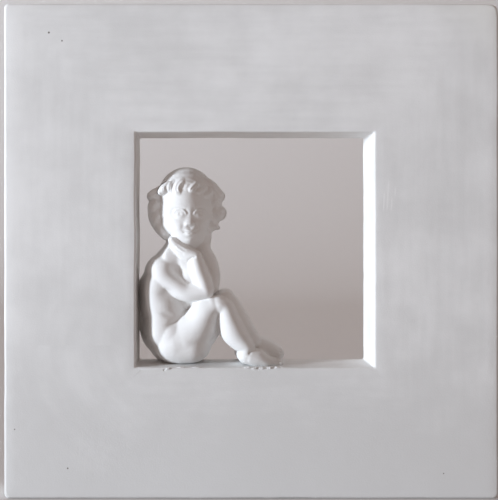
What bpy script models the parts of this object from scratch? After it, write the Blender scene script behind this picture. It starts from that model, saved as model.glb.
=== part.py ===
"""Square plaster wall plaque: a seated cherub in an open window, cast in one with its frame.

The plaque hangs in its own frame: X to the right, Z up, its flat back on the plane Y = 0 and its
front facing -Y. The origin is the middle of the top bar's back, where it is fixed to a wall.
Sizes below are in millimetres. Places on the figure are (right of the window's left edge, above
the ledge), and heights of its relief are measured forwards from the back.
"""
import math

import bmesh
import bpy
import numpy as np
from mathutils import Vector

MM = 0.001

# Frame
SIDE = 200.0
DEPTH = 20.0
WINDOW_WIDTH = 96.2
WINDOW_HEIGHT = 95.0
LEFT_BAR = 53.3
BOTTOM_BAR = 53.0
TOP_BAR = SIDE - BOTTOM_BAR - WINDOW_HEIGHT
WALL_DRAFT = math.tan(math.radians(2.0))
OUTER_CORNER = 2.0
WINDOW_CORNER = 0.6
OUTER_EDGE_ROUND = 1.2
WINDOW_EDGE_ROUND = 0.9
CORNER_STEPS = 4
EDGE_STEPS = 3

# The block is modelled this much too deep and its back is then struck off flat.
SPARE_DEPTH = 2.0

# Skeleton of the seated figure
NAPE = (14.5, 50.0)
SHOULDER = (9.4, 37.4)
ELBOW = (28.2, 30.9)
WRIST = (23.7, 45.2)
KNUCKLES = (14.2, 52.0)
WAIST = (12.4, 20.5)
SEAT = (14.5, 12.0)
HIP = (20.6, 11.2)
KNEE = (32.8, 26.2)
CALF = (40.0, 14.6)
HEEL = (44.8, 4.2)
INSTEP = (50.0, 4.0)
TOES = (54.4, 2.3)
FAR_ELBOW = (31.0, 32.0)
FAR_CHEEK = (27.2, 50.0)
FAR_KNEE = (36.9, 26.2)
FAR_ANKLE = (47.4, 9.9)
FAR_TOES = (58.2, 3.4)
SKULL = (20.4, 69.0)
FACE = (20.7, 61.5)
CHIN_LEVEL = 49.4

# Heights of the relief above the back
NEAR_LIMB = 20.3
BODY = 18.1
FAR_LIMB = 14.3
HAIR_FLAT = 12.0
HAIR_CAP = 15.5
SKULL_FRONT = 19.4
FACE_FRONT = 18.7

# How steeply the sides fall to the back: height for each millimetre outwards
MOULD_SLOPE = 16.0
BACK_SLOPE = 4.6
NECK_SLOPE = 10.0

# Head, and its features set out on the plain proportions of a small child's face
HEAD_WIDTH = 21.0
HEAD_LENGTH = 32.0
SKULL_BULGE = 9.0
FACE_MIDDLE = 22.0
EYE_LINE = CHIN_LEVEL + 0.40 * HEAD_LENGTH
NOSE_LINE = CHIN_LEVEL + 0.245 * HEAD_LENGTH
MOUTH_LINE = CHIN_LEVEL + 0.155 * HEAD_LENGTH
EYE_APART = HEAD_WIDTH / 5.0

# Locks of hair
LOCK_WIDTH = 2.6
LOCK_RISE = 0.9
CROWN_STRANDS = 6
CROWN_FROM = ((11.0, 72.8), (13.2, 77.6))
CROWN_TOP = ((20.0, 75.6), (20.8, 80.0))
CROWN_TO = ((31.2, 69.8), (32.0, 74.2))
FRINGE_LINE = 75.2
FRINGE_TIPS = ((8.3, 70.6), (12.2, 69.4), (15.0, 69.9), (18.0, 69.3), (20.9, 70.3), (23.6, 70.2),
               (27.0, 69.6), (30.7, 66.4))
SIDE_LOCKS = 6

# Furrows: between fingers and toes, at the ankle, under the arm and across the belly
FINGERS = 4
FOOT_TOES = 5
FURROW_DEPTH = 0.7
FURROW_WIDTH = 0.6

# Building and thinning the figure's skin
RING_POINTS = 20
CAP_RINGS = 5
SPANS = 4
VOXEL = 0.5
SMOOTHING_ROUNDS = 3
KEPT_SHARE = 0.094

PLASTER_COLOUR = (0.80, 0.80, 0.79, 1.0)
PLASTER_ROUGHNESS = 0.75


def in_model(right, height, up):
    """A place on the relief as a point of the model, in metres."""
    x = -SIDE / 2 + LEFT_BAR + right
    z = TOP_BAR / 2 - SIDE + BOTTOM_BAR + up
    return Vector((x * MM, -height * MM, z * MM))


def clear_scene():
    for thing in list(bpy.data.objects):
        bpy.data.objects.remove(thing, do_unlink=True)


def rounded_rectangle(left, right, bottom, top, radius):
    """Points round a rectangle, each corner a quarter circle."""
    centres = ((right - radius, top - radius), (left + radius, top - radius),
               (left + radius, bottom + radius), (right - radius, bottom + radius))
    points = []
    for quarter, (cx, cz) in enumerate(centres):
        for step in range(CORNER_STEPS + 1):
            angle = math.pi / 2 * (quarter + step / CORNER_STEPS)
            points.append((cx + radius * math.cos(angle), cz + radius * math.sin(angle)))
    return points


def edge_arc(radius):
    """Pairs (inset, drop) along the quarter round that joins a side to the front."""
    for step in range(EDGE_STEPS + 1):
        angle = math.pi / 2 * step / EDGE_STEPS
        yield radius * (1 - math.cos(angle)), radius * (1 - math.sin(angle))


def outer_ring(inset, height):
    left = -LEFT_BAR + inset
    bottom = -BOTTOM_BAR + inset
    return [(x, height, z) for x, z in rounded_rectangle(
        left, SIDE - LEFT_BAR - inset, bottom, SIDE - BOTTOM_BAR - inset, OUTER_CORNER)]


def window_ring(outset, height):
    """The window's outline at one height: it narrows towards the back by the draft."""
    grow = outset - (DEPTH - height) * WALL_DRAFT
    return [(x, height, z) for x, z in rounded_rectangle(
        -grow, WINDOW_WIDTH + grow, -grow, WINDOW_HEIGHT + grow, WINDOW_CORNER)]


def make_frame():
    """The frame is one ring of cross-sections: outer side, front, window wall and back."""
    rings = [outer_ring(0.0, -SPARE_DEPTH)]
    rings += [outer_ring(inset, DEPTH - drop) for inset, drop in edge_arc(OUTER_EDGE_ROUND)]
    rings += [window_ring(outset, DEPTH - drop)
              for outset, drop in reversed(list(edge_arc(WINDOW_EDGE_ROUND)))]
    rings.append(window_ring(0.0, -SPARE_DEPTH))
    body = bmesh.new()
    made = [[body.verts.new(in_model(*point)) for point in ring] for ring in rings]
    for near, far in zip(made, made[1:] + made[:1]):
        for i in range(len(near)):
            j = (i + 1) % len(near)
            body.faces.new((near[i], near[j], far[j], far[i]))
    bmesh.ops.recalc_face_normals(body, faces=body.faces)
    mesh = bpy.data.meshes.new("plaque")
    body.to_mesh(mesh)
    body.free()
    frame = bpy.data.objects.new("plaque", mesh)
    bpy.context.collection.objects.link(frame)
    return frame


def through(stations, spans=SPANS):
    """A smooth run of stations through the given ones (Catmull-Rom)."""
    if len(stations) < 3:
        return stations
    rows = [Vector(s) for s in stations]
    rows = [2 * rows[0] - rows[1]] + rows + [2 * rows[-1] - rows[-2]]
    run = []
    for a, b, c, d in zip(rows, rows[1:], rows[2:], rows[3:]):
        for step in range(spans):
            t = step / spans
            run.append(0.5 * (2 * b + (c - a) * t + (2 * a - 5 * b + 4 * c - d) * t * t
                              + (3 * b - a - 3 * c + d) * t ** 3))
    return run + [rows[-2]]


def dome_points(station, slope):
    """Points of a rounded dome and of the footprint that its sloping sides reach."""
    right, up, top, half, bulge = station
    points = [in_model(right, top, up)]
    levels = [(half * math.sin(a), top - bulge + bulge * math.cos(a))
              for a in (math.pi / 2 * k / CAP_RINGS for k in range(1, CAP_RINGS + 1))]
    levels.append((half + (top - bulge + SPARE_DEPTH) / slope, -SPARE_DEPTH))
    for radius, height in levels:
        for k in range(RING_POINTS):
            angle = 2 * math.pi * k / RING_POINTS
            points.append(in_model(right + radius * math.cos(angle), height,
                                   up + radius * math.sin(angle)))
    return points


def add_hull(body, points):
    """Adds the closed convex hull of the points to the body."""
    hull = bmesh.new()
    verts = [hull.verts.new(p) for p in points]
    result = bmesh.ops.convex_hull(hull, input=verts)
    spare = [g for g in result["geom_interior"] + result["geom_unused"]
             if isinstance(g, bmesh.types.BMVert)]
    bmesh.ops.delete(hull, geom=list(set(spare)), context="VERTS")
    bmesh.ops.recalc_face_normals(hull, faces=hull.faces)
    mesh = bpy.data.meshes.new("hull")
    hull.to_mesh(mesh)
    hull.free()
    body.from_mesh(mesh)
    bpy.data.meshes.remove(mesh)


def add_form(body, *stations, slope=MOULD_SLOPE):
    """A rounded mass through stations (right, up, top, half width, bulge)."""
    run = through(stations)
    if len(run) == 1:
        add_hull(body, dome_points(run[0], slope))
    for near, far in zip(run, run[1:]):
        add_hull(body, dome_points(near, slope) + dome_points(far, slope))


def add_trunk(body):
    """Back and belly, seat and hips, chest and neck, and the thin web that meets the window."""
    add_form(body, (10.6, 38.0, BODY, 5.2, 4.6), (10.4, 32.5, BODY, 6.5, 5.6),
             (11.2, 26.5, BODY, 6.9, 6.0), (*WAIST, 17.2, 7.0, 6.0),
             (12.9, 14.0, BODY, 7.6, 6.0), slope=BACK_SLOPE)
    add_form(body, (*SEAT, 18.7, 9.4, 8.0), (17.5, 9.7, 19.2, 10.3, 9.0), slope=BACK_SLOPE)
    add_form(body, (*HIP, 19.6, 11.3, 9.0))
    add_form(body, (14.5, 25.5, 15.6, 4.0, 3.0), (15.8, 18.5, 16.0, 4.5, 3.0))
    add_form(body, (16.5, 42.0, 14.3, 6.0, 4.0), (20.0, 34.5, 14.3, 7.5, 4.0))
    add_form(body, (*NAPE, 13.5, 3.2, 3.0), (13.0, 45.5, 15.0, 4.0, 3.0), slope=NECK_SLOPE)
    add_form(body, (9.8, 42.0, 16.6, 2.6, 2.6), (13.2, 45.4, 15.8, 1.8, 1.8),
             (18.6, 41.6, 15.6, 1.4, 1.4), slope=NECK_SLOPE)
    add_form(body, (5.4, 32.0, 9.0, 3.8, 3.0), (5.0, 24.0, 8.0, 4.2, 3.0),
             (5.4, 15.0, 8.0, 4.2, 3.0), (10.0, 7.2, 8.0, 4.6, 3.0))


def add_near_arm(body):
    add_form(body, (*SHOULDER, 19.2, 5.0, 4.6), (14.8, 33.2, 19.0, 4.0, 4.0),
             (20.4, 30.1, 19.6, 4.0, 3.9), (*ELBOW, NEAR_LIMB, 3.7, 3.7))
    add_form(body, (*ELBOW, NEAR_LIMB, 3.6, 3.7), (26.9, 35.2, NEAR_LIMB, 3.9, 3.9),
             (25.3, 39.3, NEAR_LIMB, 3.7, 3.7), (*WRIST, NEAR_LIMB, 2.6, 2.6))
    add_form(body, (*WRIST, NEAR_LIMB, 2.6, 2.6), (19.6, 46.9, 19.7, 2.9, 2.7),
             (16.3, 49.3, 18.8, 2.6, 2.5), (*KNUCKLES, 17.4, 1.8, 1.8))


def add_far_arm(body):
    add_form(body, (*FAR_CHEEK, 13.0, 2.7, 2.5), (27.4, 46.5, 13.0, 2.5, 2.5),
             (30.0, 41.0, 13.0, 2.8, 2.5), (31.2, 36.0, 13.0, 2.9, 2.5),
             (*FAR_ELBOW, 13.0, 2.7, 2.5))


def add_near_leg(body):
    add_form(body, (*HIP, 19.8, 9.5, 8.0), (25.0, 16.5, 20.2, 8.1, 7.5),
             (28.6, 22.0, NEAR_LIMB, 6.0, 5.8), (30.9, 25.2, NEAR_LIMB, 4.3, 4.3))
    add_form(body, (*KNEE, 20.0, 3.9, 4.0), (35.4, 25.2, 20.1, 3.5, 3.6),
             (37.8, 19.3, NEAR_LIMB, 3.9, 4.2), (*CALF, NEAR_LIMB, 4.6, 4.6),
             (42.9, 10.5, 19.8, 3.9, 4.0), (45.0, 7.3, 19.4, 3.2, 3.3), (*HEEL, 19.3, 3.3, 3.3))
    add_form(body, (46.2, 4.6, 19.5, 3.6, 3.6), (*INSTEP, 19.2, 3.4, 3.2),
             (*TOES, 18.2, 2.2, 2.2))


def add_far_leg(body):
    add_form(body, (*FAR_KNEE, FAR_LIMB, 3.9, 3.0), (42.0, 18.6, FAR_LIMB, 3.8, 3.0),
             (*FAR_ANKLE, FAR_LIMB, 3.3, 3.0))
    add_form(body, (48.4, 8.0, FAR_LIMB, 3.1, 3.0), (53.8, 5.6, 13.8, 3.0, 3.0),
             (*FAR_TOES, 12.6, 2.2, 2.2))
    add_form(body, (33.5, 22.0, 9.0, 2.6, 2.0), (34.4, 16.0, 8.0, 2.2, 2.0))


def add_head(body):
    """Skull and face, a cap of hair over them, and the flat hair at both sides."""
    half = HEAD_WIDTH / 2
    add_form(body, (*SKULL, SKULL_FRONT, half + 0.3, SKULL_BULGE))
    add_form(body, (FACE[0], 65.0, FACE_FRONT, half, 8.5), (*FACE, FACE_FRONT, half - 0.2, 8.5),
             (20.9, 57.8, FACE_FRONT, half - 0.8, 8.0), (21.3, 55.2, FACE_FRONT, half - 3.4, 6.5))
    add_form(body, (SKULL[0], SKULL[1] + 0.8, HAIR_CAP, 11.6, 7.0))
    add_form(body, (10.6, 69.6, 12.5, 3.6, 3.0), (5.2, 70.3, HAIR_FLAT, 0.9, 0.9))
    add_form(body, (8.5, 64.8, HAIR_FLAT, 4.1, 2.5), (8.5, 60.8, HAIR_FLAT, 3.8, 2.5),
             (9.8, 57.0, HAIR_FLAT, 3.0, 2.5), (12.0, 53.6, HAIR_FLAT, 2.2, 2.0))
    add_form(body, (27.2, 72.3, 13.0, 6.6, 3.0), (34.2, 69.6, HAIR_FLAT, 2.5, 2.2))
    add_form(body, (30.0, 62.0, HAIR_FLAT, 4.4, 3.0), (35.0, 62.4, HAIR_FLAT, 2.2, 2.0))
    add_form(body, (29.0, 58.0, 11.5, 3.0, 2.5), (33.9, 56.2, 11.0, 0.7, 0.7))


def mound(x, z, centre, width, height):
    """A soft swelling of height 1 at its centre (a Gaussian)."""
    return np.exp(-((x - centre[0]) / width) ** 2 - ((z - centre[1]) / height) ** 2)


def off_path(x, z, places):
    """Distance of each point from a smooth path, and how far along it lies, from 0 to 1."""
    run = through([(px, pz, 0.0) for px, pz in places])
    nearest = np.full(x.shape, 1e9)
    along = np.zeros(x.shape)
    for k, (a, b) in enumerate(zip(run, run[1:])):
        dx, dz = b[0] - a[0], b[1] - a[1]
        t = np.clip(((x - a[0]) * dx + (z - a[1]) * dz) / (dx * dx + dz * dz), 0.0, 1.0)
        away = np.hypot(x - a[0] - t * dx, z - a[1] - t * dz)
        along = np.where(away < nearest, (k + t) / (len(run) - 1), along)
        nearest = np.minimum(away, nearest)
    return nearest, along


def lock(x, z, places, width=LOCK_WIDTH):
    """A rounded lock of height 1 along a path, thin at its tip."""
    away, along = off_path(x, z, places)
    half = width / 2 * np.clip(1.6 * np.sin(math.pi * (0.15 + 0.8 * along)), 0.3, 1.0)
    return np.sqrt(np.clip(1.0 - (away / half) ** 2, 0.0, 1.0))


def furrow(x, z, places, width=FURROW_WIDTH):
    """A soft groove of depth 1 along a path."""
    return np.exp(-(off_path(x, z, places)[0] / width) ** 2)


def blend(pair, share):
    (x0, z0), (x1, z1) = pair
    return x0 + (x1 - x0) * share, z0 + (z1 - z0) * share


def face_relief(x, z):
    """Eyes, brows, nose, cheeks, mouth and chin, raised on or sunk into the smooth face."""
    rise = np.zeros(x.shape)
    for side in (-1, 1):
        eye = FACE_MIDDLE + side * EYE_APART
        rise -= 1.1 * mound(x, z, (eye, EYE_LINE), 2.6, 1.9)
        rise += 0.9 * mound(x, z, (eye, EYE_LINE), 1.6, 1.0)
        rise += 0.3 * mound(x, z, (eye, EYE_LINE + 2.9), 3.0, 1.1)
        rise += 0.9 * mound(x, z, (FACE_MIDDLE + side * 4.9, NOSE_LINE - 0.8), 3.2, 3.2)
        rise += 0.6 * mound(x, z, (FACE_MIDDLE + side * 1.3, NOSE_LINE + 0.4), 0.9, 0.8)
    down = np.clip((EYE_LINE + 1.5 - z) / (EYE_LINE + 1.5 - NOSE_LINE), 0.0, 1.0)
    under = np.clip((z - NOSE_LINE + 0.6) / 1.0, 0.0, 1.0)
    rise += (0.4 + 1.5 * down) * under * np.exp(-((x - FACE_MIDDLE) / (1.0 + 0.6 * down)) ** 2) * (
        np.clip((EYE_LINE + 3.5 - z) / 2.0, 0.0, 1.0))
    rise += 0.6 * mound(x, z, (FACE_MIDDLE, MOUTH_LINE), 2.8, 1.8)
    rise += 0.5 * mound(x, z, (FACE_MIDDLE, MOUTH_LINE + 0.8), 1.8, 0.6)
    rise += 0.5 * mound(x, z, (FACE_MIDDLE, MOUTH_LINE - 0.8), 1.5, 0.6)
    rise -= 0.5 * mound(x, z, (FACE_MIDDLE, MOUTH_LINE), 2.3, 0.4)
    rise += 0.9 * mound(x, z, (FACE_MIDDLE, CHIN_LEVEL + 2.0), 2.4, 1.7)
    return rise


def hair_relief(x, z):
    """Strands swept over the crown, a fringe across the forehead, and a fan at each side."""
    rise = np.zeros(x.shape)
    for k in range(CROWN_STRANDS):
        share = k / (CROWN_STRANDS - 1)
        path = [blend(CROWN_FROM, share), blend(CROWN_TOP, share), blend(CROWN_TO, share)]
        rise = np.maximum(rise, 0.6 * lock(x, z, path, LOCK_WIDTH))
    for k, tip in enumerate(FRINGE_TIPS):
        root = (0.8 * tip[0] + 0.2 * SKULL[0] + 0.4, FRINGE_LINE)
        bend = (tip[0] + (0.9 if k % 2 else -0.9), (tip[1] + FRINGE_LINE) / 2)
        rise = np.maximum(rise, lock(x, z, [root, bend, tip], LOCK_WIDTH))
    for k in range(SIDE_LOCKS):
        left = (4.6 + 0.2 * k * k, 70.4 - 3.2 * k)
        right = (36.0 - 0.15 * k * k, 69.8 - 2.8 * k)
        rise = np.maximum(rise, lock(x, z, [(10.4, left[1] + 2.0), (7.6, left[1] + 1.4), left]))
        rise = np.maximum(rise, lock(x, z, [(30.6, right[1] + 3.0), (33.4, right[1] + 1.4), right]))
    return LOCK_RISE * rise


def body_relief(x, z):
    """The creases of the body, and the furrows that part fingers and toes."""
    sink = 1.0 * furrow(x, z, [(46.2, 5.6), (47.6, 7.0), (49.6, 7.4)])
    sink += 0.9 * furrow(x, z, [(12.5, 31.2), (15.0, 30.4), (18.0, 27.6), (21.0, 25.4)], 0.9)
    sink += 0.4 * furrow(x, z, [(10.5, 20.8), (13.0, 20.4), (16.5, 21.8)], 0.8)
    sink += 1.4 * mound(x, z, (15.8, 38.3), 2.6, 1.8)
    for k in range(1, FINGERS):
        start = (KNUCKLES[0] - 1.6 + 1.5 * k, KNUCKLES[1] - 0.9 - 1.1 * k)
        sink += FURROW_DEPTH * furrow(x, z, [start, (start[0] + 1.6, start[1] + 1.9)], 0.5)
    for k in range(1, FOOT_TOES):
        start = (TOES[0] - 0.6 + 1.1 * k, TOES[1] - 1.2 + 0.75 * k)
        sink += FURROW_DEPTH * furrow(x, z, [start, (start[0] + 2.4, start[1] - 0.4)], 0.35)
    return -sink


def carve(mesh):
    """Moves the front of the skin out or in by the finer relief."""
    count = len(mesh.vertices)
    places = np.empty(3 * count)
    mesh.vertices.foreach_get("co", places)
    normals = np.empty(3 * count)
    mesh.vertices.foreach_get("normal", normals)
    places = places.reshape(count, 3)
    facing = np.clip(-normals.reshape(count, 3)[:, 1] * 2.0, 0.0, 1.0)
    corner = in_model(0.0, 0.0, 0.0)
    x = places[:, 0] / MM - corner.x / MM
    z = places[:, 2] / MM - corner.z / MM
    hair = hair_relief(x, z)
    on_head = z > CHIN_LEVEL
    relief = np.where(on_head, np.where(hair > 0.0, hair, face_relief(x, z)), body_relief(x, z))
    places[:, 1] -= facing * relief * MM
    mesh.vertices.foreach_set("co", places.ravel())
    mesh.update()


def make_figure():
    """All the figure's masses under one skin, carved and then thinned."""
    body = bmesh.new()
    for add in (add_trunk, add_near_arm, add_far_arm, add_near_leg, add_far_leg, add_head):
        add(body)
    mesh = bpy.data.meshes.new("cherub_masses")
    body.to_mesh(mesh)
    body.free()
    figure = bpy.data.objects.new("cherub_forms", mesh)
    bpy.context.collection.objects.link(figure)
    skin = figure.modifiers.new("One skin", "REMESH")
    skin.mode = "VOXEL"
    skin.voxel_size = VOXEL * MM
    soften = figure.modifiers.new("Soften", "SMOOTH")
    soften.iterations = SMOOTHING_ROUNDS
    soften.factor = 0.5
    skinned = figure.evaluated_get(bpy.context.evaluated_depsgraph_get())
    figure.data = bpy.data.meshes.new_from_object(skinned)
    figure.modifiers.clear()
    carve(figure.data)
    thin = figure.modifiers.new("Fewer faces", "DECIMATE")
    thin.ratio = KEPT_SHARE
    hide_guide(figure)
    return figure


def hide_guide(guide):
    guide.hide_render = True
    guide.display_type = "WIRE"


def make_back_cutter():
    """A slab behind the plaque: its front face is the plane of the back."""
    bpy.ops.mesh.primitive_cube_add(size=1.0)
    slab = bpy.context.object
    slab.name = "back_cutter"
    depth = 4 * SPARE_DEPTH
    middle = in_model(SIDE / 2 - LEFT_BAR, -depth / 2, SIDE / 2 - BOTTOM_BAR)
    for vertex in slab.data.vertices:
        vertex.co.x = vertex.co.x * 1.2 * SIDE * MM + middle.x
        vertex.co.y = vertex.co.y * depth * MM + middle.y
        vertex.co.z = vertex.co.z * 1.2 * SIDE * MM + middle.z
    hide_guide(slab)
    return slab


def plaster():
    material = bpy.data.materials.new("plaster")
    material.use_nodes = True
    shader = material.node_tree.nodes["Principled BSDF"]
    shader.inputs["Base Color"].default_value = PLASTER_COLOUR
    shader.inputs["Roughness"].default_value = PLASTER_ROUGHNESS
    shader.inputs["Metallic"].default_value = 0.0
    return material


def join(frame, other, operation, name):
    step = frame.modifiers.new(name, "BOOLEAN")
    step.operation = operation
    step.solver = "EXACT"
    step.object = other


def main():
    clear_scene()
    plaque = make_frame()
    plaque.data.materials.append(plaster())
    join(plaque, make_figure(), "UNION", "Cast in one")
    join(plaque, make_back_cutter(), "DIFFERENCE", "Flat back")


main()
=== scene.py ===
"""Looks of a square plaster wall plaque: a seated cherub in an open window, cast in one.

Places on the relief are given in millimetres as (right of the window's left edge, above the ledge),
and heights of the relief are measured forwards from the plaque's flat back.
"""

import math

import bpy
import numpy as np
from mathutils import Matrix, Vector


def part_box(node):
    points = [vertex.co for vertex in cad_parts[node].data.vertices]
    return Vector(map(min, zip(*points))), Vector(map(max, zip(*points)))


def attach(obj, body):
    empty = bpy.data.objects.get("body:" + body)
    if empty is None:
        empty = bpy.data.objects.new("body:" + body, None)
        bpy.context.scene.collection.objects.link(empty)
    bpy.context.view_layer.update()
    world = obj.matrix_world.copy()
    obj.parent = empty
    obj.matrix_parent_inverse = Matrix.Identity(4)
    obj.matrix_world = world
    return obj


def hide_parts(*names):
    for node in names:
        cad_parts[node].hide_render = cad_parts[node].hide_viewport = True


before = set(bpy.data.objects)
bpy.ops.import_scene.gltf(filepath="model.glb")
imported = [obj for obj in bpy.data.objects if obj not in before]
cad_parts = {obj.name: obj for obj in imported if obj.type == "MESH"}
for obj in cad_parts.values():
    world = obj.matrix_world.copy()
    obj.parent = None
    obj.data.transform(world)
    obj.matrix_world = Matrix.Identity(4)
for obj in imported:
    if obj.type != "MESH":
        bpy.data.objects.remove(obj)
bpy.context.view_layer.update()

MM = 0.001
LOW, HIGH = (np.array(corner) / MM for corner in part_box("plaque"))

# Frame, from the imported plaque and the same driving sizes
SIDE = HIGH[0] - LOW[0]
DEPTH = 20.0
WINDOW_WIDTH = 96.2
WINDOW_HEIGHT = 95.0
LEFT_BAR = 53.3
BOTTOM_BAR = 53.0
WALL_DRAFT = math.tan(math.radians(2.0))
OUTER_CORNER = 1.9
WINDOW_CORNER = 0.7
OUTER_EDGE_ROUND = 1.2
WINDOW_EDGE_ROUND = 0.9
CORNER_RIGHT = LOW[0] + LEFT_BAR
CORNER_UP = LOW[2] + BOTTOM_BAR
SPARE_DEPTH = 2.0

# Fineness of the skin
SIDE_STEPS = 120
CORNER_STEPS = 8
ROUND_STEPS = 5
FACE_STEPS = 14
WALL_STEPS = 5
VOXEL = 0.27
SOFTENING = 16
KEPT_SHARE = 0.42
AFTER_CARVING = 3
CREASE = 36.0
FIGURE_CREASE = 80.0
FIGURE_MARGIN = 1.0
FRONT_FACING = (0.05, 0.55)
NECK_BLEND = 1.0
LATTICE = 64
LATTICE_START = 1000.0

# Places on the seated figure
ELBOW = (28.2, 30.9)
SEAT = (14.5, 12.0)
HIP = (20.6, 11.2)
FAR_KNEE = (36.9, 26.2)
FAR_ANKLE = (47.4, 9.9)
SKULL = (20.4, 69.0)
FACE = (20.7, 61.5)
CHIN_LEVEL = 49.4

# Heights of the relief above the back
NEAR_LIMB = 20.3
FAR_LIMB = 14.3
HAIR_FLAT = 12.0
HAIR_CAP = 15.5
SKULL_FRONT = 19.4

# How steeply the sides fall to the back: height for each millimetre outwards
MOULD_SLOPE = 24.0
BACK_SLOPE = 4.6
FLANK_SLOPE = 2.5
NECK_SLOPE = 10.0

# Head, and its features set out on the plain proportions of a small child's face
HEAD_WIDTH = 21.0
HEAD_LENGTH = 32.0
SKULL_BULGE = 8.8
HEAD_TURN = 0.10
FACE_MIDDLE = 22.0
EYE_WIDTH = HEAD_WIDTH / 5.0
EYE_LINE = CHIN_LEVEL + 0.39 * HEAD_LENGTH
BROW_LINE = EYE_LINE + 0.085 * HEAD_LENGTH
NOSE_LINE = CHIN_LEVEL + 0.25 * HEAD_LENGTH
MOUTH_LINE = CHIN_LEVEL + 0.16 * HEAD_LENGTH

# Camera: place in millimetres, lens, width of its sensor and shift
CAMERA = (-26.6, -408.0, -63.3)
LENS = 69.3
SENSOR = 36.0
CLIP = (0.01, 20.0)
SHIFT = (0.127, -0.051)

# Unevenness of the frame: (depth in millimetres, size of its waves, seed)
RUBBED = ((0.10, 23.0, 1), (0.05, 5.0, 2))
WAVERS = ((0.14, 17.0, 3), (0.05, 4.0, 5))
SWELLS = ((0.09, 38.0, 7), (0.05, 15.0, 8))
SINK = 0.10
WORN_DEPTH = 0.5
WORN_REACH = 3.5

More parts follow.
